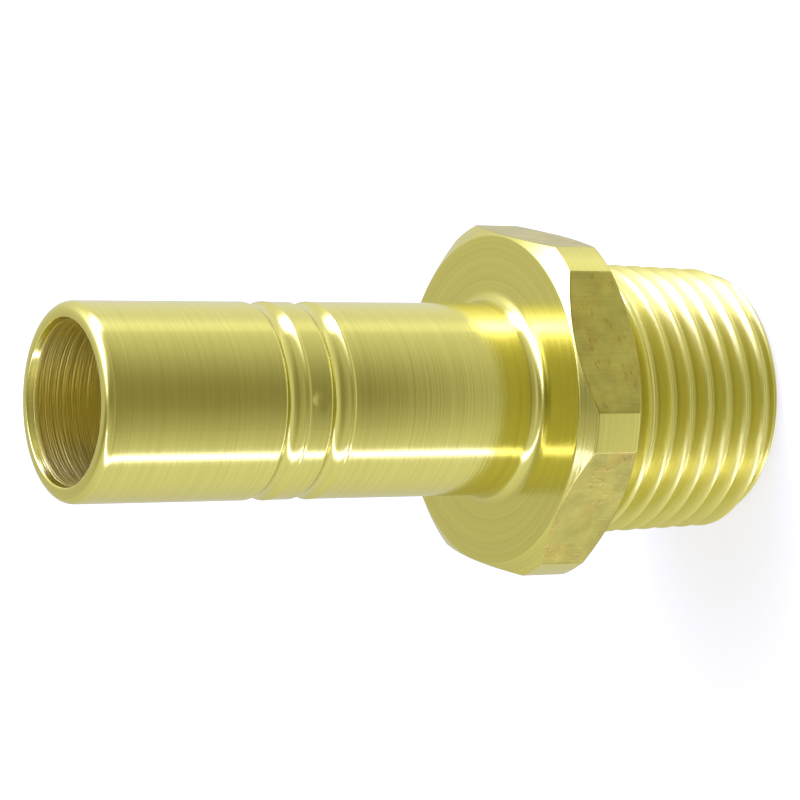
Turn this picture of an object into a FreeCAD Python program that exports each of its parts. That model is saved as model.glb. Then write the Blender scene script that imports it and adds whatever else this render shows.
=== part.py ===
import FreeCAD, Part
import math
import os

# Threaded stem adaptor, in millimetres: a male taper pipe thread, a hexagon collar
# and a plain tube stem with two ring grooves, with one waterway bored right
# through. The real piece is turned and milled from a single bar of brass, so it is
# one solid. It stands on the flat end of its thread, with the stem pointing up.
# The origin is the centre of that end, and Z runs up the piece's axis.

# Stem
stem_diameter = 15.0
stem_length = 36.8
stem_edge_radius = 0.8

# Waterway, the same from end to end, with its two mouths broken by a lead-in
bore_diameter = 12.2
mouth_diameter = 12.6
mouth_depth = 0.65

# Ring grooves with round bottoms, the first one placed from the stem's end
first_groove_place = 15.6
groove_spacing = 3.83
groove_width = 1.8
groove_depth = 0.35

# Shallow round dimple on the land between the grooves, turned from the -Y side
dimple_diameter = 1.4
dimple_depth = 0.08
dimple_turn = 11.0

# Hexagon collar: both ends are chamfered, and its corners are turned to a circle
collar_length = 5.57
across_flats = 25.86
corner_diameter = 28.26
stem_side_circle_diameter = 25.6
stem_side_chamfer_length = 0.95
thread_side_circle_diameter = 25.8
thread_side_chamfer_length = 0.83
face_fillet_radius = 1.0

# Male taper pipe thread, right-handed, 14 turns to the inch, 1 in 16 on diameter
thread_length = 15.33
thread_pitch = 25.4 / 14
thread_end_diameter = 20.7
thread_taper = 1 / 16
thread_form_angle = 55.0
thread_runout_length = 2.6
thread_start_turn = 135.4
end_circle_diameter = 19.0
end_chamfer_length = 0.8

# The thread form: a sharp triangle that loses a sixth of its height at the crest
# and at the root, so both are flat for a sixth of the pitch
half_form_angle = math.radians(thread_form_angle / 2)
thread_depth = thread_pitch / (2 * math.tan(half_form_angle)) * 2 / 3
root_width = thread_pitch / 6

# Heights along the axis
collar_bottom = thread_length
collar_middle = collar_bottom + collar_length / 2
collar_top = collar_bottom + collar_length
total_height = collar_top + stem_length
groove_heights = [total_height - first_groove_place - groove_spacing * index for index in range(2)]

# How far the thread's cutter reaches out of the metal, as a share of its depth,
# and how close its surfaces and the blank's may come and still count as crossing
overrun = 0.15
cutting_tolerance = 0.001

AXIS = FreeCAD.Vector(0, 0, 1)
CENTRE = FreeCAD.Vector(0, 0, 0)
ARC_MIDDLE = math.sqrt(0.5)


def spot(radius, height):
    """Point of the section through the axis."""
    return FreeCAD.Vector(radius, 0, height)


def turned(section):
    """Solid turned about the axis from the corners and arcs of half its section.

    A corner is (radius, height). An arc is given by three such points in one entry.
    """
    edges = []
    last = section[-1]
    for entry in section:
        is_arc = isinstance(entry[0], tuple)
        start = entry[0] if is_arc else entry
        if last != start:
            edges.append(Part.makeLine(spot(*last), spot(*start)))
        if is_arc:
            edges.append(Part.Arc(*[spot(*corner) for corner in entry]).toShape())
        last = entry[-1] if is_arc else entry
    return Part.Face(Part.Wire(edges)).revolve(CENTRE, AXIS, 360)


def stem():
    """Tube stem with a rounded end, and a fillet where it meets the collar."""
    radius = stem_diameter / 2
    edge = stem_edge_radius
    fillet = face_fillet_radius
    foot = radius + fillet
    fillet_arc = (
        (foot, collar_top),
        (foot - fillet * ARC_MIDDLE, collar_top + fillet * (1 - ARC_MIDDLE)),
        (radius, collar_top + fillet),
    )
    end_arc = (
        (radius, total_height - edge),
        (radius - edge * (1 - ARC_MIDDLE), total_height - edge * (1 - ARC_MIDDLE)),
        (radius - edge, total_height),
    )
    return turned([(0, collar_middle), (foot, collar_middle), fillet_arc, end_arc, (0, total_height)])


def ring_groove(height):
    """Ring that cuts a groove whose section is part of a circle."""
    ring_radius = ((groove_width / 2) ** 2 + groove_depth ** 2) / (2 * groove_depth)
    ring_centre = stem_diameter / 2 - groove_depth + ring_radius
    return Part.makeTorus(ring_centre, ring_radius, spot(0, height), AXIS)


def dimple(height):
    """Ball that cuts a shallow round dimple in the side of the stem."""
    ball_radius = ((dimple_diameter / 2) ** 2 + dimple_depth ** 2) / (2 * dimple_depth)
    out = stem_diameter / 2 - dimple_depth + ball_radius
    turn = math.radians(dimple_turn)
    centre = FreeCAD.Vector(out * math.sin(turn), -out * math.cos(turn), height)
    return Part.makeSphere(ball_radius, centre)


def collar():
    """Hexagon bar with a corner towards -Y, inside the turned and chamfered outline."""
    corner_radius = across_flats / math.sqrt(3)
    corners = []
    for index in range(7):
        turn = math.radians(60 * index)
        corner = spot(0, collar_bottom)
        corner += FreeCAD.Vector(math.sin(turn), -math.cos(turn), 0) * corner_radius
        corners.append(corner)
    bar = Part.Face(Part.makePolygon(corners)).extrude(AXIS * collar_length)
    outline = turned([
        (0, collar_bottom),
        (thread_side_circle_diameter / 2, collar_bottom),
        (corner_diameter / 2, collar_bottom + thread_side_chamfer_length),
        (corner_diameter / 2, collar_top - stem_side_chamfer_length),
        (stem_side_circle_diameter / 2, collar_top),
        (0, collar_top),
    ])
    return bar.common(outline)


def crest_radius(height):
    """Radius over the thread's crests, which grows towards the collar."""
    return thread_end_diameter / 2 + height * thread_taper / 2


def thread_blank():
    """Cone that the thread is cut in, with its lower end chamfered."""
    return turned([
        (0, 0),
        (end_circle_diameter / 2, 0),
        (crest_radius(end_chamfer_length), end_chamfer_length),
        (crest_radius(collar_middle), collar_middle),
        (0, collar_middle),
    ])


def helix(start_height, start_radius, end_height, end_radius):
    """One edge of a cone-shaped helix that keeps the thread's pitch up the axis."""
    rise = end_height - start_height
    slope = math.atan((end_radius - start_radius) / rise)
    pitch = thread_pitch / math.cos(slope)
    edge = Part.makeHelix(pitch, rise / math.cos(slope), start_radius, math.degrees(slope)).Edges[0]
    edge.rotate(CENTRE, AXIS, 360 * (start_height + thread_pitch) / thread_pitch)
    edge.translate(spot(0, start_height))
    return edge


def thread_cutter():
    """Helical cut, from a turn below the end up to the run-out under the collar."""
    start = -thread_pitch
    full_end = collar_bottom - thread_runout_length
    start_root = crest_radius(start) - thread_depth
    full_end_root = crest_radius(full_end) - thread_depth
    last_root = crest_radius(collar_bottom) + thread_depth * overrun
    path = Part.Wire([
        helix(start, start_root, full_end, full_end_root),
        helix(full_end, full_end_root, collar_bottom, last_root),
    ])
    reach = thread_depth * (1 + overrun)
    half_root = root_width / 2
    half_mouth = half_root + reach * math.tan(half_form_angle)
    form = Part.makePolygon([
        spot(start_root, start - half_root),
        spot(start_root, start + half_root),
        spot(start_root + reach, start + half_mouth),
        spot(start_root + reach, start - half_mouth),
        spot(start_root, start - half_root),
    ])
    cutter = path.makePipeShell([form], True, True)
    cutter.rotate(CENTRE, AXIS, thread_start_turn)
    return cutter


def waterway():
    """Through bore and the lead-ins at its two mouths."""
    beyond = mouth_depth
    bore_radius = bore_diameter / 2
    mouth_radius = mouth_diameter / 2
    return turned([
        (0, -beyond),
        (mouth_radius, -beyond),
        (mouth_radius, 0),
        (bore_radius, mouth_depth),
        (bore_radius, total_height - mouth_depth),
        (mouth_radius, total_height),
        (mouth_radius, total_height + beyond),
        (0, total_height + beyond),
    ])


threaded_end = thread_blank().cut([thread_cutter()], cutting_tolerance)
grooved_stem = stem()
for height in groove_heights:
    grooved_stem = grooved_stem.cut(ring_groove(height))
grooved_stem = grooved_stem.cut(dimple(sum(groove_heights) / 2))

adaptor_body = threaded_end.fuse([collar(), grooved_stem])
adaptor_body = adaptor_body.cut(waterway()).removeSplitter().Solids[0]

os.makedirs("parts", exist_ok=True)
adaptor_body.exportStep("parts/adaptor_body.step")

print("solid is valid:", adaptor_body.isValid())
print("volume in cubic millimetres:", round(adaptor_body.Volume, 1))
print("height and centre of mass:", round(total_height, 2), round(adaptor_body.CenterOfMass.z, 2))
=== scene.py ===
import bpy
import math
from mathutils import Matrix, Vector


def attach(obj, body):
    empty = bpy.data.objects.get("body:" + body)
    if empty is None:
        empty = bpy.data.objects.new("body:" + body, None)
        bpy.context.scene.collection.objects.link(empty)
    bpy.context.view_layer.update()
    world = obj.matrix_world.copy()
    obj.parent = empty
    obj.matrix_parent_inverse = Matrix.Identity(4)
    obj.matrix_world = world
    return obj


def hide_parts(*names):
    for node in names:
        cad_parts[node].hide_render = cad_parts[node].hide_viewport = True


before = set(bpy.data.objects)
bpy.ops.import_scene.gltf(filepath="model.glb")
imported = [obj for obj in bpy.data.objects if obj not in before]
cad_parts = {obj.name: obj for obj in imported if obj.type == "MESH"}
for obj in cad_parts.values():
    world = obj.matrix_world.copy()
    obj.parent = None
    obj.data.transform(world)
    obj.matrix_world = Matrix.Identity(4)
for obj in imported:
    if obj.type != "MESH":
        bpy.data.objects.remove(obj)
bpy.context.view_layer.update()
scene = bpy.context.scene


# The adaptor: one bar of brass, turned, bored and threaded on a lathe, with six flats
# milled on its collar. It stands on the thread's end. Sizes are in millimetres, radii
# are measured from the axis, and heights from the end that it stands on.

STEM_RADIUS = 7.5
STEM_EDGE_RADIUS = 0.8
STEM_EDGE_FIRST_ANGLE = 84
BORE_RADIUS = 6.1
MOUTH_RADIUS = 6.3
MOUTH_DEPTH = 0.65
FACE_FILLET = 1.0
COLLAR_BOTTOM = 15.33
COLLAR_TOP = 20.9
TOTAL_HEIGHT = 57.7
HALF_FLATS = 12.93
CORNER_RADIUS = 14.13
CORNER_SMOOTHING = 0.03
UPPER_CIRCLE = 12.8
UPPER_CHAMFER = 0.95
LOWER_CIRCLE = 12.9
LOWER_CHAMFER = 0.83
LOWER_FACE_INSET = 0.5
EDGE_BREAK = 0.05
EDGE_ROUNDING = 2.5 * EDGE_BREAK

GROOVE_HEIGHTS = (42.1, 38.27)
GROOVE_HALF_WIDTH = 0.9
GROOVE_DEPTH = 0.35
GROOVE_ARC_SHARE = 0.94
GROOVE_LIP = 0.03
# How far below a groove the lip's points are, and how far out of the stem
LIP_POINTS = ((0.03, GROOVE_LIP), (0.09, GROOVE_LIP), (0.18, 0.0), (0.28, 0.0))
# How far from a groove's middle the plain stem starts, above it and below each one
PLAIN_ABOVE_GROOVE = 1.1
PLAIN_BELOW_GROOVES = (1.2, 1.3)

DIMPLE_RADIUS = 0.7
DIMPLE_DEPTH = 0.08
DIMPLE_TURN = 11.0
DIMPLE_HEIGHT = 40.185
DIMPLE_SMOOTHING = 0.015
# The columns that are drawn towards the dimple: how wide, how strongly and where
DRAWN_TURN = 7.0
DRAWN_SHARE = 0.7
DRAWN_REACH = 15.0
LAND_HALF_HEIGHT = 0.8

THREAD_PITCH = 25.4 / 14
THREAD_END_RADIUS = 10.35
THREAD_SLOPE = 1 / 32
THREAD_DEPTH = 1.161
THREAD_ROOT_WIDTH = THREAD_PITCH / 6
THREAD_FLANK_ANGLE = 27.5
THREAD_ROOT_SMOOTHING = 0.5
THREAD_CREST_SMOOTHING = 0.6
THREAD_RUNOUT = 2.6
THREAD_RUNOUT_RISE = 1.15
THREAD_TURN = 225.4
END_CIRCLE = 9.5
END_CHAMFER = 0.8
END_FACE_INSET = 0.35

TURNED_COLOUR = (0.655, 0.610, 0.175, 1.0)
# The bore's brass is lighter than the turned brass: painted light, which brightens the dark inside
# of the bore
BORE_COLOUR_WITH_PAINTED_LIGHT = (0.80, 0.71, 0.21, 1.0)
# The milled flats' brass is darker and more olive than the turned brass: painted shade, for the
# dimmer light that the flats reflect
MILLED_COLOUR_WITH_PAINTED_SHADE = (0.44, 0.40, 0.09, 1.0)
STAIN_COLOUR = (0.46, 0.35, 0.07, 1.0)
STAIN_SHARE = 0.7
PLAIN_ROUGHNESS = 0.12
BORE_ROUGHER = 0.27
THREAD_ROUGHER = 0.16
MILLED_ROUGHER = 0.12
MARK_DEPTH = 0.00002
MILLIMETRE = 0.001
MILLIMETRES_PER_METRE = 1000.0


def arc(centre, radius, first, last, steps):
    """Points of the section on an arc, with angles in degrees from the outward side."""
    angles = [math.radians(first + (last - first) * step / steps) for step in range(steps + 1)]
    return [(centre[0] + radius * math.cos(a), centre[1] + radius * math.sin(a)) for a in angles]


def along(start, end, shares):
    """Points at those shares of the way between two points of the section."""
    return [tuple(a + (b - a) * share for a, b in zip(start, end)) for share in shares]


def straight(start, end, steps):
    """Evenly spaced points between two points of the section, without the two."""
    return along(start, end, [step / steps for step in range(1, steps)])


def broken(start, end, steps=1):
    """Points along a straight run of the section that stop short of its two edges."""
    length = math.dist(start, end)
    shares = [EDGE_BREAK / length, EDGE_ROUNDING / length]
    shares += [step / steps for step in range(1, steps)]
    shares += [1 - EDGE_ROUNDING / length, 1 - EDGE_BREAK / length]
    return along(start, end, shares)


def groove(height):
    """Round-bottomed groove from its upper edge to its lower one, with a raised lip."""
    ring_radius = (GROOVE_HALF_WIDTH**2 + GROOVE_DEPTH**2) / (2 * GROOVE_DEPTH)
    centre = (STEM_RADIUS - GROOVE_DEPTH + ring_radius, height)
    sweep = math.degrees(math.asin(GROOVE_HALF_WIDTH / ring_radius)) * GROOVE_ARC_SHARE
    upper = height + GROOVE_HALF_WIDTH
    lower = height - GROOVE_HALF_WIDTH
    return (
        [(STEM_RADIUS, upper + 3 * EDGE_BREAK), (STEM_RADIUS, upper + EDGE_BREAK)]
        + arc(centre, ring_radius, 180 - sweep, 180 + sweep, 12)
        + [(STEM_RADIUS + out, lower - below) for below, out in LIP_POINTS]
    )


def on_stem(height):
    """Point of the section on the plain stem at that height."""
    return (STEM_RADIUS, height)


stem_end = TOTAL_HEIGHT - STEM_EDGE_RADIUS
rounding_centre = (STEM_RADIUS - STEM_EDGE_RADIUS, stem_end)
fillet_centre = (STEM_RADIUS + FACE_FILLET, COLLAR_TOP + FACE_FILLET)
upper_groove, lower_groove = GROOVE_HEIGHTS
below_upper = upper_groove - PLAIN_BELOW_GROOVES[0]
below_lower = lower_groove - PLAIN_BELOW_GROOVES[1]
upper_corner = (CORNER_RADIUS, COLLAR_TOP - UPPER_CHAMFER)
lower_corner = (CORNER_RADIUS, COLLAR_BOTTOM + LOWER_CHAMFER)
bore_top = (BORE_RADIUS, TOTAL_HEIGHT - MOUTH_DEPTH)
section = (
    [(END_CIRCLE, 0.0)]
    + broken((END_CIRCLE - END_FACE_INSET, 0.0), (MOUTH_RADIUS, 0.0), 6)
    + broken((MOUTH_RADIUS, 0.0), (BORE_RADIUS, MOUTH_DEPTH), 2)
    + broken((BORE_RADIUS, MOUTH_DEPTH), bore_top, 16)
    + broken(bore_top, (MOUTH_RADIUS, TOTAL_HEIGHT), 2)
    + broken((MOUTH_RADIUS, TOTAL_HEIGHT), (rounding_centre[0], TOTAL_HEIGHT), 2)
    + arc(rounding_centre, STEM_EDGE_RADIUS, STEM_EDGE_FIRST_ANGLE, 0, 10)
    + straight(on_stem(stem_end), on_stem(upper_groove + PLAIN_ABOVE_GROOVE), 16)
    + groove(upper_groove)
    + straight(on_stem(below_upper), on_stem(lower_groove + PLAIN_ABOVE_GROOVE), 18)
    + groove(lower_groove)
    + straight(on_stem(below_lower), on_stem(fillet_centre[1]), 16)
    + arc(fillet_centre, FACE_FILLET, 180, 270, 12)
    + broken((fillet_centre[0], COLLAR_TOP), (UPPER_CIRCLE, COLLAR_TOP), 5)
    + broken((UPPER_CIRCLE, COLLAR_TOP), upper_corner, 3)
    + broken(upper_corner, lower_corner, 6)
    + broken(lower_corner, (LOWER_CIRCLE, COLLAR_BOTTOM), 3)
    + broken((LOWER_CIRCLE, COLLAR_BOTTOM), (THREAD_END_RADIUS + LOWER_FACE_INSET, COLLAR_BOTTOM), 3)
    + [(THREAD_END_RADIUS, COLLAR_BOTTOM)]
)


class Number:
    """A number on a node tree. Python's operators on it add the tree's Math nodes."""

    def __init__(self, tree, socket):
        self.tree = tree
        self.socket = socket

    def math(self, operation, *others):
        """Math node of that operation, on this number and the others."""
        return Number.of(self.tree, operation, self, *others)

    @staticmethod
    def of(tree, operation, *values):
        """Math node of that operation, on values of which any may be a plain number."""
        return Number(tree, tree_node(tree, "ShaderNodeMath", {"operation": operation}, values)[0])

    def __add__(self, other):
        return self.math("ADD", other)

    def __sub__(self, other):
        return self.math("SUBTRACT", other)

    def __mul__(self, other):
        return self.math("MULTIPLY", other)

    def __truediv__(self, other):
        return self.math("DIVIDE", other)

    def __rsub__(self, other):
        return Number.of(self.tree, "SUBTRACT", other, self)

    def __rtruediv__(self, other):
        return Number.of(self.tree, "DIVIDE", other, self)

    def __gt__(self, other):
        return self.math("GREATER_THAN", other)

    def __lt__(self, other):
        return self.math("LESS_THAN", other)

    def __abs__(self):
        return self.math("ABSOLUTE")

    __radd__ = __add__
    __rmul__ = __mul__

    def limited(self, low=0.0, high=1.0):
        """This number, kept between the two limits."""
        return self.math("MAXIMUM", low).math("MINIMUM", high)

    def between(self, low, high):
        """1 at a value of high, 0 at low, and straight between them."""
        return ((self - low) / (high - low)).limited()


def tree_node(tree, kind, settings=None, inputs=()):
    """Adds a node: its settings first, then its inputs by order or by name. Gives its outputs."""
    node = tree.nodes.new(kind)
    for name, setting in (settings or {}).items():
        setattr(node, name, setting)
    pairs = inputs.items() if isinstance(inputs, dict) else enumerate(inputs)
    for name, value in pairs:
        if isinstance(value, Number):
            value = value.socket
        if isinstance(value, bpy.types.NodeSocket):
            tree.links.new(value, node.inputs[name])
        elif value is not None:
            node.inputs[name].default_value = value
    return node.outputs


def coordinates(tree, vector, scale=1.0):
    """The three numbers of a vector on a node tree, scaled."""
    parts = tree_node(tree, "ShaderNodeSeparateXYZ", inputs=[vector])
    return [Number(tree, socket) * scale for socket in parts]


def colour_mix(tree, share, first, second):
    """The first colour, with that share of the second."""
    settings = {"data_type": "RGBA", "blend_type": "MIX"}
    return tree_node(tree, "ShaderNodeMix", settings, {"Factor": share, "A": first, "B": second})[2]


def turned_and_milled_tree(sizes, columns, rows_per_pitch, pitches):
    """Tree that winds the section round the axis, mills the six flats and cuts the thread."""
    tree = bpy.data.node_groups.new("turned_and_milled_brass", "GeometryNodeTree")
    interface = tree.interface
    interface.new_socket("Section", in_out="INPUT", socket_type="NodeSocketGeometry")
    for name, value in sizes.items():
        socket = interface.new_socket(name, in_out="INPUT", socket_type="NodeSocketFloat")
        socket.default_value = value
    interface.new_socket("Brass", in_out="INPUT", socket_type="NodeSocketMaterial")
    interface.new_socket("Adaptor", in_out="OUTPUT", socket_type="NodeSocketGeometry")
    given = tree_node(tree, "NodeGroupInput")
    size = {name: Number(tree, given[name]) for name in sizes}

    def of(operation, *values):
        return Number.of(tree, operation, *values)

    # Turns of the columns, crowded near and far beside the corners of the collar
    sector_columns = columns // 6
    strip = 60.0 - 2 * math.degrees(math.acos(HALF_FLATS / CORNER_RADIUS))
    flat = 60.0 - strip
    near, far = 0.22, 0.55
    edge_bands = [(far - near, 1), (2 * near, 1), (far - near, 1)]
    strip_band = (strip - 2 * far, 4)
    flat_band = (flat - 2 * far, sector_columns - 10)
    bands = [edge_bands[0], strip_band, *edge_bands, flat_band, *edge_bands[:2]]
    first_turn = near - strip / 2

    def turn_of(column):
        sector = of("FLOOR", (column + 0.01) / sector_columns)
        left = column - sector * sector_columns
        turn = sector * 60.0 + first_turn
        start = 0
        for span, count in bands:
            turn = turn + (left - start).between(0, count) * span
            start += count
        return turn

    def grid(rows):
        """Grid of rows and columns, with the row and column number of each point."""
        made = tree_node(tree, "GeometryNodeMeshGrid", inputs={
            "Size X": rows - 1.0, "Size Y": float(columns),
            "Vertices X": rows, "Vertices Y": columns + 1,
        })
        place = tree_node(tree, "GeometryNodeInputPosition")[0]
        x, y, _ = coordinates(tree, place)
        row = of("ROUND", x + (rows - 1) / 2)
        column = of("ROUND", y + columns / 2)
        return made[0], row, column

    def crest(height):
        return size["Thread end radius"] + height * size["Thread slope"]

    def thread_radius(height, turn):
        """Radius of the threaded end, where the nearest pass of the cutter leaves the brass."""
        # The small shift keeps a point on a crest with one of its two passes
        passes = height / size["Pitch"] - (turn - size["Thread turn"]) / 360.0
        off_centre = passes - of("ROUND", passes + 0.001)
        beside = abs(off_centre * size["Pitch"])
        centre = height - off_centre * size["Pitch"]
        lift = ((centre - (size["Collar bottom"] - size["Run-out"])) / size["Run-out"]).limited()
        root = crest(centre) - size["Thread depth"] * (1 - lift * THREAD_RUNOUT_RISE)
        steepness = 1 / math.tan(math.radians(THREAD_FLANK_ANGLE))
        flank = root + (beside - size["Root width"] / 2) * steepness
        cut = of("SMOOTH_MAX", flank, root, THREAD_ROOT_SMOOTHING)
        uncut = of("SMOOTH_MIN", cut, crest(height), THREAD_CREST_SMOOTHING)
        chamfered_crest = THREAD_END_RADIUS + END_CHAMFER * THREAD_SLOPE
        edge = END_CIRCLE + height * ((chamfered_crest - END_CIRCLE) / END_CHAMFER)
        return of("MINIMUM", uncut, edge)

    def placed(mesh, radius, height, turn):
        angle = turn * math.radians(1)
        x = radius * angle.math("SINE") * MILLIMETRE
        y = radius * angle.math("COSINE") * -MILLIMETRE
        spot = tree_node(tree, "ShaderNodeCombineXYZ", inputs=[x, y, height * MILLIMETRE])[0]
        moved = {"Geometry": mesh, "Position": spot}
        return tree_node(tree, "GeometryNodeSetPosition", inputs=moved)[0]

    # The turned section, with the six flats milled where it stands out of them
    mesh, row, column = grid(len(section))
    turn = turn_of(column)
    source = tree_node(tree, "GeometryNodeInputPosition")[0]
    sample = tree_node(tree, "GeometryNodeSampleIndex", {"data_type": "FLOAT_VECTOR"}, {
        "Geometry": given["Section"], "Value": source, "Index": row,
    })[0]
    radius, on_thread, height = coordinates(tree, sample)
    beside_flat = turn - of("ROUND", (turn - 30.0) / 60.0) * 60.0 - 30.0
    flat_reach = size["Half across flats"] / (beside_flat * math.radians(1)).math("COSINE")
    reach = of("SMOOTH_MIN", flat_reach, size["Corner radius"], CORNER_SMOOTHING)
    upper = height > (COLLAR_BOTTOM + COLLAR_TOP) / 2
    circle = LOWER_CIRCLE + upper * (UPPER_CIRCLE - LOWER_CIRCLE)
    share = ((radius - circle) / (size["Corner radius"] - circle)).limited()
    milled = circle + share * (reach - circle)
    upper_slope = UPPER_CHAMFER / (CORNER_RADIUS - UPPER_CIRCLE)
    lower_slope = LOWER_CHAMFER / (CORNER_RADIUS - LOWER_CIRCLE)
    upper_edge = COLLAR_TOP - (milled - UPPER_CIRCLE) * upper_slope
    lower_edge = COLLAR_BOTTOM + (milled - LOWER_CIRCLE) * lower_slope
    rise = height.between(lower_corner[1], upper_corner[1])
    side_height = lower_edge + rise * (upper_edge - lower_edge)
    in_collar = radius > circle
    out = radius + in_collar * (milled - radius)
    up = height + in_collar * (side_height - height)
    out = out + on_thread * (thread_radius(height, turn) - out)

    # The dimple, with the columns of its rows drawn together towards it
    off_turn = turn - DIMPLE_TURN
    off_height = height - DIMPLE_HEIGHT
    on_land = (abs(off_height) < LAND_HALF_HEIGHT) * (radius > STEM_RADIUS - 0.01)
    on_land = on_land * (abs(off_turn) < DRAWN_REACH)
    spread = off_turn / DRAWN_TURN
    drawn = (spread * spread * -1.0).math("EXPONENT") * on_land * DRAWN_SHARE
    turn = turn - off_turn * drawn
    off_angle = (turn - DIMPLE_TURN) * math.radians(1)
    off_side = off_angle.math("SINE") * STEM_RADIUS
    off_centre = off_side * off_side + off_height * off_height
    ball_radius = (DIMPLE_RADIUS**2 + DIMPLE_DEPTH**2) / (2 * DIMPLE_DEPTH)
    ball = (ball_radius**2 - off_centre).math("MAXIMUM", 0.0).math("SQRT")
    hollow = (STEM_RADIUS - DIMPLE_DEPTH + ball_radius - ball) / off_angle.math("COSINE")
    dished = of("SMOOTH_MIN", hollow, out, DIMPLE_SMOOTHING)
    out = out + on_land * (off_centre < 1.0) * (dished - out)
    turned_part = placed(mesh, out, up, turn)

    # The thread, on rows that climb with it, crowded at its crests and roots and held
    # between its two ends
    mesh, row, column = grid(rows_per_pitch * pitches + 1)
    turn = turn_of(column)
    step = row / rows_per_pitch - 1.0
    crowding = 0.6
    step = step - (step * (4 * math.pi)).math("SINE") * (crowding / (4 * math.pi))
    height = (step + (turn - size["Thread turn"]) / 360.0) * size["Pitch"]
    height = height.limited(0.0, size["Collar bottom"])
    thread_part = placed(mesh, thread_radius(height, turn), height, turn)
    thread_part = tree_node(tree, "GeometryNodeFlipFaces", inputs=[thread_part])[0]

    joined = tree.nodes.new("GeometryNodeJoinGeometry")
    for part in (turned_part, thread_part):
        tree.links.new(part, joined.inputs[0])
    merged = tree_node(tree, "GeometryNodeMergeByDistance", inputs={
        "Geometry": joined.outputs[0], "Distance": 1e-6,
    })[0]
    smooth = tree_node(tree, "GeometryNodeSetShadeSmooth", inputs=[merged])[0]
    real = tree_node(tree, "GeometryNodeRealizeInstances", inputs=[smooth])[0]
    dressed = {"Geometry": real, "Material": given["Brass"]}
    done = tree_node(tree, "GeometryNodeSetMaterial", inputs=dressed)[0]
    tree_node(tree, "NodeGroupOutput", inputs=[done])
    return tree


def turned_brass():
    """Bright brass with lathe rings round it, a duller bore, and marks on its milled flats. The bore
    and the thread are drawn lighter as painted light, and the flats darker as painted shade.
    """
    brass = bpy.data.materials.new("turned_brass")
    brass.use_nodes = True
    tree = brass.node_tree
    tree.nodes.clear()

    place = tree_node(tree, "ShaderNodeTexCoord")["Object"]
    x, y, z = coordinates(tree, place, MILLIMETRES_PER_METRE)
    radius = (x * x + y * y).math("SQRT")
    east = x / radius
    north = y / radius
    turn = x.math("ARCTAN2", y * -1.0) * math.degrees(1)
    beside = (turn - ((turn - 30.0) / 60.0).math("ROUND") * 60.0 - 30.0) * math.radians(1)
    across_flat = radius * beside.math("SINE")
    off_flat = abs(radius * beside.math("COSINE") - HALF_FLATS)
    in_collar = (z > COLLAR_BOTTOM + 0.02) * (z < COLLAR_TOP - 0.02) * (radius > HALF_FLATS - 0.05)
    milled = in_collar * (off_flat < 0.025)
    in_bore = radius < BORE_RADIUS + 0.03
    turned = (1 - milled) * (1 - in_bore)
    on_thread = z < COLLAR_BOTTOM

    def noise(x, y, z, detail):
        place = tree_node(tree, "ShaderNodeCombineXYZ", inputs=[x, y, z])[0]
        made = tree_node(tree, "ShaderNodeTexNoise", {"noise_dimensions": "3D"}, {
            "Vector": place, "Scale": 1.0, "Detail": detail, "Roughness": 0.6,
        })
        return Number(tree, made[0])

    def rings(outward, upward, around, detail, shift=0.0):
        """Lathe rings: quick across the cut, slow round the axis, and closed round it."""
        return noise(radius * outward + east * around, north * around, z * upward + shift, detail)

    def spots(rate, detail, shift=0.0):
        return noise(x * rate, y * rate, z * rate + shift, detail)

    def flat_marks(across, along_axis, detail, shift=0.0):
        """Marks on the flats, which differ from one flat to the next."""
        return noise(across_flat * across, z * along_axis, turn * 0.01 + shift, detail)

    fine_rings = rings(5.0, 5.0, 0.35, 3.0)
    wide_rings = rings(1.7, 1.7, 0.55, 2.0, 40.0)
    bore_rings = rings(2.0, 4.5, 0.55, 2.0)
    patches = spots(0.45, 3.0)
    stains = spots(0.3, 2.0, 7.0).between(0.45, 0.65)
    streaks = flat_marks(7.0, 0.35, 4.0)
    pits = flat_marks(1.6, 2.4, 3.0, 20.0).between(0.55, 0.66) * stains

    relief = turned * (fine_rings * 0.9 + wide_rings * 0.5) + in_bore * bore_rings * 10.0
    relief = relief + milled * (streaks * 1.2 - pits * 2.5)
    bump = tree_node(tree, "ShaderNodeBump", inputs={
        "Strength": 0.5, "Distance": MARK_DEPTH, "Height": relief,
    })
    rough = PLAIN_ROUGHNESS + fine_rings * 0.08 * turned + milled * (MILLED_ROUGHER + patches * 0.1)
    rough = rough + in_bore * BORE_ROUGHER + on_thread * turned * THREAD_ROUGHER
    # Tone of the lathe rings and the flats' marks, with the thread drawn 5% lighter as painted light
    shade = (fine_rings - 0.5) * 0.26 * turned + on_thread * 0.05
    shade = shade + milled * ((streaks - 0.5) * 0.3 + (patches - 0.5) * 0.9 - pits * 0.3)
    # Inside the bore the brass is drawn lighter, as painted light
    plain = colour_mix(tree, in_bore, TURNED_COLOUR, BORE_COLOUR_WITH_PAINTED_LIGHT)
    # On the milled flats the brass is drawn darker, as painted shade
    plain = colour_mix(tree, milled, plain, MILLED_COLOUR_WITH_PAINTED_SHADE)
    plain = colour_mix(tree, milled * stains * STAIN_SHARE, plain, STAIN_COLOUR)
    colour = tree_node(tree, "ShaderNodeVectorMath", {"operation": "SCALE"}, {
        "Vector": plain, "Scale": shade + 1.0,
    })[0]
    shader = tree_node(tree, "ShaderNodeBsdfPrincipled", inputs={
        "Base Color": colour, "Metallic": 1.0, "Roughness": rough,
        "Anisotropic": 0.35, "Anisotropic Rotation": 0.25, "Normal": bump[0],
    })
    tree_node(tree, "ShaderNodeOutputMaterial", inputs=[shader[0]])
    return brass


section_mesh = bpy.data.meshes.new("adaptor_section")
last_row = len(section) - 1
points = [(r, 1.0 if row in (0, last_row) else 0.0, h) for row, (r, h) in enumerate(section)]
section_mesh.from_pydata(points, [(row, row + 1) for row in range(last_row)], [])
section_object = bpy.data.objects.new("adaptor_section", section_mesh)
scene.collection.objects.link(section_object)

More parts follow.
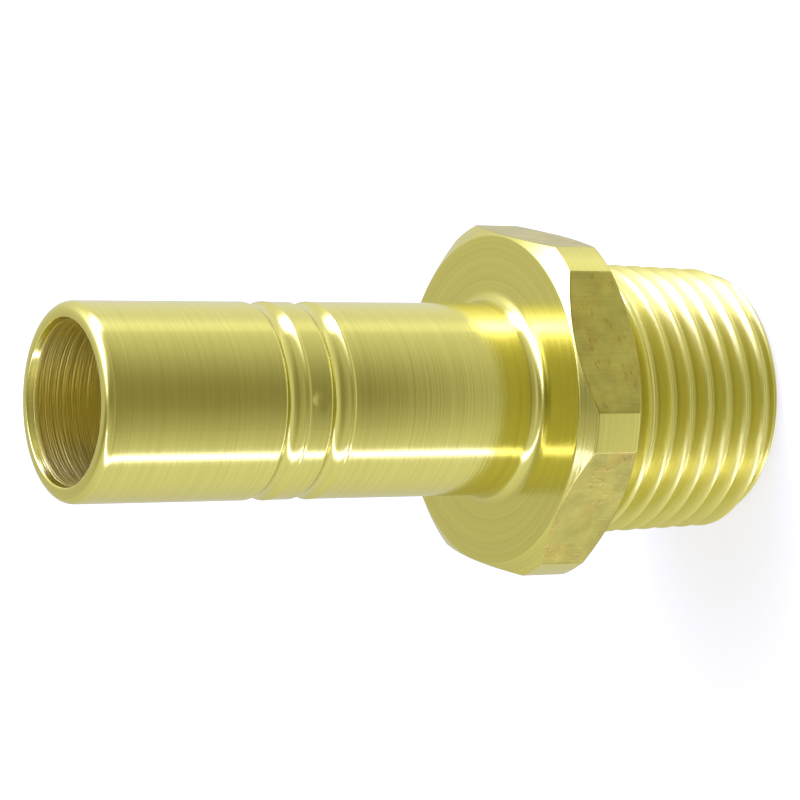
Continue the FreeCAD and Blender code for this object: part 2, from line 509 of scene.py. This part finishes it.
brass = turned_brass()
cutter_sizes = {
    "Half across flats": HALF_FLATS, "Corner radius": CORNER_RADIUS, "Collar bottom": COLLAR_BOTTOM,
    "Pitch": THREAD_PITCH, "Thread end radius": THREAD_END_RADIUS, "Thread slope": THREAD_SLOPE,
    "Thread depth": THREAD_DEPTH, "Root width": THREAD_ROOT_WIDTH, "Run-out": THREAD_RUNOUT,
    "Thread turn": THREAD_TURN,
}
tree = turned_and_milled_tree(cutter_sizes, columns=180, rows_per_pitch=24, pitches=11)
modifier = section_object.modifiers.new("turned_and_milled", "NODES")
modifier.node_group = tree
for item in tree.interface.items_tree:
    if item.in_out == "INPUT" and item.name in cutter_sizes:
        modifier[item.identifier] = cutter_sizes[item.name]
    if item.in_out == "INPUT" and item.name == "Brass":
        modifier[item.identifier] = brass
graph = bpy.context.evaluated_depsgraph_get()
finished = section_object.evaluated_get(graph)
adaptor_mesh = bpy.data.meshes.new_from_object(finished, depsgraph=graph)
bpy.data.objects.remove(section_object)
adaptor = bpy.data.objects.new("brass_adaptor", adaptor_mesh)
scene.collection.objects.link(adaptor)
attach(adaptor, "root")
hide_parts("adaptor_body")


# The floor: plain white board, which the adaptor stands on. It keeps a soft shadow, and
# the brass doesn't mirror it. Its size is in metres, as the dark cards' sizes are.

FLOOR_HALF = 3.0
FLOOR_GREY = (0.4, 0.4, 0.4, 1)
FLOOR_GLOW = 0.6


def level_square(half):
    """Corners of a square on the floor, of twice that width."""
    return [(-half, -half, 0), (half, -half, 0), (half, half, 0), (-half, half, 0)]


def flat_object(name, corners, material):
    """One flat four-cornered face, in the scene."""
    mesh = bpy.data.meshes.new(name)
    mesh.from_pydata(corners, [], [(0, 1, 2, 3)])
    mesh.materials.append(material)
    made = bpy.data.objects.new(name, mesh)
    scene.collection.objects.link(made)
    return made


board = bpy.data.materials.new("white_board")
board.use_nodes = True
tree = board.node_tree
tree.nodes.clear()
seen = Number(tree, tree_node(tree, "ShaderNodeLightPath")["Is Camera Ray"])
lit = tree_node(tree, "ShaderNodeBsdfDiffuse", inputs={"Color": FLOOR_GREY})[0]
glow = tree_node(tree, "ShaderNodeEmission", inputs={
    "Color": (1, 1, 1, 1), "Strength": seen * FLOOR_GLOW,
})[0]
both = tree_node(tree, "ShaderNodeAddShader", inputs=[lit, glow])[0]
tree_node(tree, "ShaderNodeOutputMaterial", inputs=[both])
floor = flat_object("floor", level_square(FLOOR_HALF), board)
floor.visible_glossy = False
floor.visible_shadow = False


# The light: a pale surround with a tall lamp on each side of the adaptor and a softbox
# above it. It is dim and warm in front, less so behind and overhead, and white to the
# camera. Turns and widths round the adaptor are in degrees from the front.

VIEW_AZIMUTH = 10.79
BACK_DIP = 0.31
BACK_TURNS = (190.0, -170.0)
FRONT_TURN = 8.0
FRONT_DIP = 0.1
FRONT_BAND_DIP = 0.46
ZONE_WIDTH = 45.0
SIDE_TURN = 140.0
SIDE_WIDTH = 28.0
SIDE_RISE = 0.12
OVERHEAD_DIP = 0.7
OVERHEAD_WIDTH = 0.09
BROAD_LAMP_TURN = 96.0
BROAD_LAMP_WIDTH = 8.0
BROAD_LAMP_FOOT = 0.35
BROAD_LAMP_HEAD = 6.0
NARROW_LAMP_TURN = -66.5
NARROW_LAMP_WIDTH = 3.0
NARROW_LAMP_FOOT = 3.6
NARROW_LAMP_HEAD = 2.0
SOFTBOX = 3.4
SOFTBOX_WIDTH = 0.09
WARM = (1.0, 0.95, 0.7, 1.0)
WHITE = (1.0, 1.0, 1.0, 1.0)
COOL = (1.0, 1.0, 2.2, 1.0)
level = Vector((math.cos(math.radians(VIEW_AZIMUTH)), math.sin(math.radians(VIEW_AZIMUTH)), 0))
ahead = Vector((level.y, -level.x, 0))
softbox_way = (level * 0.58 - ahead * 0.12 + Vector((0, 0, 0.8))).normalized()
world = bpy.data.worlds.new("studio_surround")
scene.world = world
world.use_nodes = True
tree = world.node_tree
tree.nodes.clear()


def turned_to_view(x, y):
    """How far a point or a direction is towards the front, and its turn from there."""
    across = x * level.x + y * level.y
    toward = x * ahead.x + y * ahead.y
    return toward, across.math("ARCTAN2", toward) * math.degrees(1)


def hump(angle, centre, half_width):
    """1 at that turn round the adaptor, and half at half_width to each side of it."""
    off = (angle - centre) / half_width
    return (off * off * -0.693).math("EXPONENT")


def glow_round(closeness, width):
    """1 in the direction that a dot product measures the closeness to, and less round it."""
    return ((1 - closeness) / -width).math("EXPONENT")


x, y, z = coordinates(tree, tree_node(tree, "ShaderNodeTexCoord")["Generated"])
toward, angle = turned_to_view(x, y)
front_band = z.between(-0.5, -0.4) * z.between(0.65, 0.3)
brightness = 1.0 - hump(angle, FRONT_TURN, ZONE_WIDTH) * (FRONT_DIP + front_band * FRONT_BAND_DIP)
for back_turn in BACK_TURNS:
    brightness = brightness - hump(angle, back_turn, ZONE_WIDTH) * BACK_DIP
brightness = brightness + hump(angle, SIDE_TURN, SIDE_WIDTH) * SIDE_RISE
overhead = glow_round(z * 0.985 - toward * 0.174, OVERHEAD_WIDTH)
brightness = brightness - overhead * OVERHEAD_DIP
broad_lamp = hump(angle, BROAD_LAMP_TURN, BROAD_LAMP_WIDTH)
brightness = brightness + broad_lamp * (BROAD_LAMP_FOOT + z.between(-0.4, 0.1) * BROAD_LAMP_HEAD)
narrow_lamp = hump(angle, NARROW_LAMP_TURN, NARROW_LAMP_WIDTH) * z.between(0.97, 0.9)
brightness = brightness + narrow_lamp * (NARROW_LAMP_FOOT + z.between(-0.4, 0.0) * NARROW_LAMP_HEAD)
softbox = x * softbox_way.x + y * softbox_way.y + z * softbox_way.z
brightness = brightness + glow_round(softbox, SOFTBOX_WIDTH) * SOFTBOX
seen = Number(tree, tree_node(tree, "ShaderNodeLightPath")["Is Camera Ray"])
brightness = seen + (1 - seen) * brightness
tint = colour_mix(tree, brightness.between(0.4, 1.0), WARM, WHITE)
tint = colour_mix(tree, brightness.between(1.4, 2.8), tint, COOL)
surround = tree_node(tree, "ShaderNodeBackground", inputs={"Color": tint, "Strength": brightness})[0]
tree_node(tree, "ShaderNodeOutputWorld", inputs=[surround])


# The two dark cards: one lies in front of the adaptor, and the other hangs in front of
# the stem's end. Only the brass's reflections show them, and their edges are soft. The
# lying one starts where the reflections of the stem fall.

CARD_WIDTH = 38.0
LYING_HALF = 1.0
LYING_START = 0.034
LYING_FULL = 0.066
HANGING_AWAY = 0.06
HANGING_HALF_WIDTH = 0.2
HANGING_FOOT = 0.05
HANGING_HEAD = 0.3
HANGING_START = 0.062
HANGING_FULL = 0.082
FELT_COLOUR = (1, 0.955, 0.66, 1)
FELT_GLOW = 0.35
felt = bpy.data.materials.new("dark_felt")
felt.use_nodes = True
tree = felt.node_tree
tree.nodes.clear()
x, y, z = coordinates(tree, tree_node(tree, "ShaderNodeTexCoord")["Object"])
toward, angle = turned_to_view(x, y)
on_floor = (z < MILLIMETRE) * (x * x + y * y).math("SQRT").between(LYING_START, LYING_FULL)
in_air = z.between(HANGING_START, HANGING_FULL)
cover = hump(angle, FRONT_TURN, CARD_WIDTH) * (on_floor + in_air)
dark = tree_node(tree, "ShaderNodeEmission", inputs={"Color": FELT_COLOUR, "Strength": FELT_GLOW})[0]
clear = tree_node(tree, "ShaderNodeBsdfTransparent")[0]
mixed = tree_node(tree, "ShaderNodeMixShader", inputs=[cover, clear, dark])[0]
tree_node(tree, "ShaderNodeOutputMaterial", inputs=[mixed])
hanging = []
for side, height in ((-1, HANGING_FOOT), (1, HANGING_FOOT), (1, HANGING_HEAD), (-1, HANGING_HEAD)):
    aside = level * (side * HANGING_HALF_WIDTH)
    hanging.append(ahead * HANGING_AWAY + aside + Vector((0, 0, height)))
for name, corners in (("lying_card", level_square(LYING_HALF)), ("hanging_card", hanging)):
    card = flat_object(name, corners, felt)
    card.visible_camera = False
    card.visible_diffuse = False
    card.visible_shadow = False
    card.visible_transmission = False


# The camera: the photograph's view, which looks down at the adaptor from the side and
# is turned on its side, so that the adaptor's axis runs across the picture.

VIEW_ELEVATION = 30.76
VIEW_TILT = -0.476
# How far the middle of the stem's end is to the right, down and away, in millimetres
STEM_END_IN_VIEW = (-24.696, 0.178, 274.16)
LENS = 168.49
SENSOR = 36.0
elevation = math.radians(VIEW_ELEVATION)
tilt = math.radians(VIEW_TILT)
back = ahead * math.cos(elevation) + Vector((0, 0, math.sin(elevation)))
above = back.cross(level)
right = level * math.sin(tilt) - above * math.cos(tilt)
up = level * math.cos(tilt) + above * math.sin(tilt)
over, down, away = STEM_END_IN_VIEW
camera_place = Vector((0, 0, TOTAL_HEIGHT)) - right * over + up * down + back * away
camera_data = bpy.data.cameras.new("camera")
camera_data.sensor_width = SENSOR
camera_data.lens = LENS
camera_data.clip_start = 0.01
camera_data.clip_end = 20.0
camera = bpy.data.objects.new("camera", camera_data)
scene.collection.objects.link(camera)
rotation = Matrix((right, up, back)).transposed().to_4x4()
camera.matrix_world = Matrix.Translation(camera_place * MILLIMETRE) @ rotation
scene.camera = camera

scene.view_settings.view_transform = "Standard"
